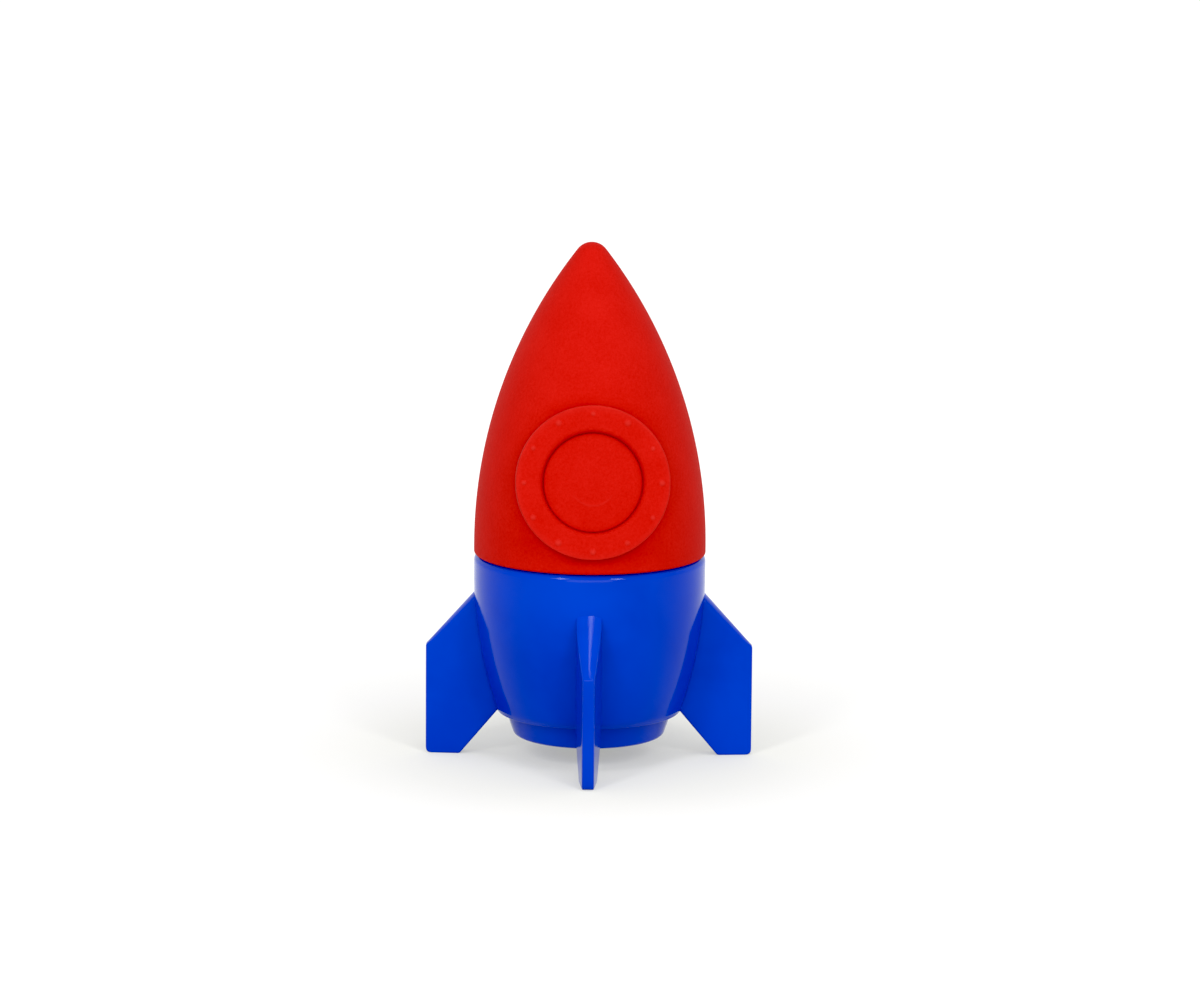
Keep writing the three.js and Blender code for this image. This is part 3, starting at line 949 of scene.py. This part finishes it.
# The node's own solid with its facets merged and its edges broken.
def refined(node, name, edge):
    piece = bpy.data.objects.new(name + "Blank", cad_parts[node].data.copy())
    scene.collection.objects.link(piece)
    edit = bmesh.new()
    edit.from_mesh(piece.data)
    bmesh.ops.remove_doubles(edit, verts=edit.verts, dist=0.001 * mm)
    nearlyFlat = math.radians(0.5)
    bmesh.ops.dissolve_limit(edit, angle_limit=nearlyFlat, verts=edit.verts, edges=edit.edges)
    edit.to_mesh(piece.data)
    edit.free()
    bevel = piece.modifiers.new("brokenEdges", "BEVEL")
    bevel.width = edge * mm
    bevel.segments = 2
    bevel.limit_method = "ANGLE"
    bevel.angle_limit = math.radians(35)
    made = baked(piece, name, 30)
    discard(piece)
    return made


def fitted(piece, node, material):
    piece.data.materials.clear()
    piece.data.materials.append(material)
    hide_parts(node)
    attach(piece, "base")


metalLook = {
    "alloy": {
        "name": "castAlloy", "roughness": 0.42,
        "dark": (0.40, 0.41, 0.43, 1), "light": (0.60, 0.61, 0.63, 1),
        "grain": 1400, "stretch": (1, 1, 1), "height": 0.03,
    },
    "blade": {
        "name": "bladeSteel", "roughness": 0.2,
        "dark": (0.50, 0.51, 0.53, 1), "light": (0.72, 0.73, 0.75, 1),
        "grain": 700, "stretch": (0.06, 1, 6), "height": 0.008,
    },
    "screw": {
        "name": "screwSteel", "roughness": 0.3,
        "dark": (0.42, 0.39, 0.33, 1), "light": (0.63, 0.60, 0.52, 1),
        "grain": 900, "stretch": (1, 1, 1), "height": 0.01,
    },
}
stainSpec = {"scale": 120, "roughness": 0.25}


# Stretching the grain across one direction turns it into grinding lines.
def metalFinish(look):
    finish = Finish(look["name"], **{"Metallic": 1.0})
    at = finish.add("ShaderNodeMapping", {}, {"Vector": finish.place(), "Scale": look["stretch"]})
    grain = finish.noise(look["grain"], 3.0, 0.6, at)
    stain = finish.noise(stainSpec["scale"], 3.0, 0.6)
    finish.feed("Base Color", finish.blend(grain * 0.6 + stain * 0.4, look["dark"], look["light"]))
    finish.feed("Roughness", look["roughness"] + (stain - 0.5) * stainSpec["roughness"])
    finish.feed("Normal", finish.bump(grain, 0.6, look["height"]))
    return finish.material


gripSpec = {
    "count": 10, "first": 8.4, "last": 27.6, "radius": 0.5, "depth": 0.22, "length": 13,
    "sides": 12, "narrowing": 2.0,
}


# A row of grooves down each side of the wedge, for the fingers.
def gripGrooves(spec, material):
    low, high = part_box("sharpener_body")
    half = spec["length"] / 2
    outline = [(0, -half), (spec["radius"], -half), (spec["radius"], half), (0, half)]
    verts, faces, _ = latheShell(outline, spec["sides"])
    lying = Matrix.Rotation(math.pi / 2, 3, "X")
    rod = newObject("grooveRod", [lying @ Vector(v) for v in verts], faces)
    bottom, top = low.z / mm, high.z / mm
    mouth = high.x / mm
    tip = mouth - spec["narrowing"]

    def sideAt(z):
        face = mouth + (tip - mouth) * (z - bottom) / (top - bottom)
        return face + spec["radius"] - spec["depth"]

    sheet = NodeSheet("gripRows", [
        ("Rod", "NodeSocketObject"), ("Count", "NodeSocketInt"), ("First", "NodeSocketVector"),
        ("Last", "NodeSocketVector"),
    ])
    rodShape = sheet.add("GeometryNodeObjectInfo", {}, {"Object": sheet.given("Rod")}, "Geometry")
    line = sheet.add("GeometryNodeMeshLine", {"mode": "END_POINTS"}, {
        "Count": sheet.given("Count"), "Start Location": sheet.given("First"),
        "Offset": sheet.given("Last"),
    })
    right = sheet.add("GeometryNodeInstanceOnPoints", {}, {"Points": line, "Instance": rodShape})
    left = sheet.add("GeometryNodeTransform", {}, {"Geometry": right, "Rotation": (0, 0, math.pi)})
    both = sheet.add("GeometryNodeJoinGeometry", {}, {"Geometry": right})
    sheet.tree.links.new(left, both.node.inputs["Geometry"])
    sheet.finish(both, material)
    rows = sheet.build("gripRows", {
        "Rod": rod, "Count": spec["count"],
        "First": (sideAt(spec["first"]) * mm, 0.0, spec["first"] * mm),
        "Last": (sideAt(spec["last"]) * mm, 0.0, spec["last"] * mm),
    })
    discard(rod)
    tidyNormals(rows)
    return rows


def buildSharpener():
    alloy, bladeSteel, screwSteel = (metalFinish(metalLook[k]) for k in ("alloy", "blade", "screw"))
    wedge = refined("sharpener_body", "wedgeBlank", 0.22)
    grooves = gripGrooves(gripSpec, alloy)
    cut(wedge, grooves, "DIFFERENCE")
    body = baked(wedge, "sharpenerBody", 30)
    discard(wedge, grooves)
    fitted(body, "sharpener_body", alloy)
    blade = refined("sharpener_blade", "sharpenerBlade", 0.06)
    fitted(blade, "sharpener_blade", bladeSteel)
    screw = refined("blade_screw", "bladeScrew", 0.12)
    fitted(screw, "blade_screw", screwSteel)


buildSharpener()
print("sharpener built")
